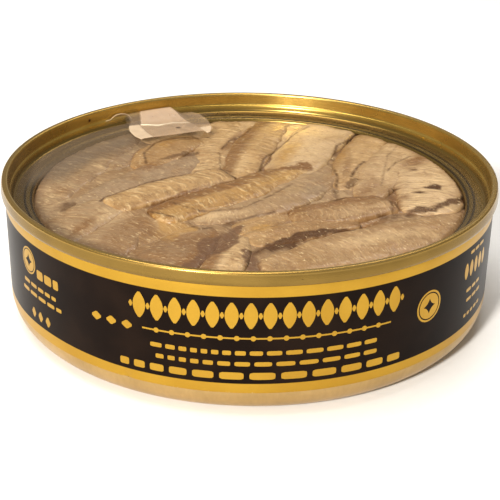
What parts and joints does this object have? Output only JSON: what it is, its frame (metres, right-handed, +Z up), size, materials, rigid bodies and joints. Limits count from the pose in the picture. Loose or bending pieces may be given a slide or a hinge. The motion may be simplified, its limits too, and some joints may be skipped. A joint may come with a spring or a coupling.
{
  "type": "tin of smoked sprats",
  "caption": "Round flat fish tin with a black and gold wrap label, a rolled gold seam and a clear peel-off film with a folded pull tab over packed smoked sprats.",
  "frame": {"origin": "centre of the underside, on the plane that the tin stands on", "axes": "+Z up through the film, -Y towards the printed front"},
  "size_m": [0.1024, 0.1024, 0.029],
  "materials": {
    "body_lacquer": "tan gold lacquer on drawn tinplate, satin",
    "label_print": "coated paper wrap printed black with gold bands, satin",
    "ring_lacquer": "gold lacquer on tinplate, glossy",
    "clear_film": "clear peel film, glossy, frosted grip at the tab's corners",
    "smoked_fish": "smoked fish skin wet with oil, tan with golden patches"
  },
  "bodies": {
    "root": {"can_body": "body_lacquer", "label": "label_print", "seam_ring": "ring_lacquer", "film": "clear_film", "sprats": "smoked_fish"}
  },
  "joints": []
}
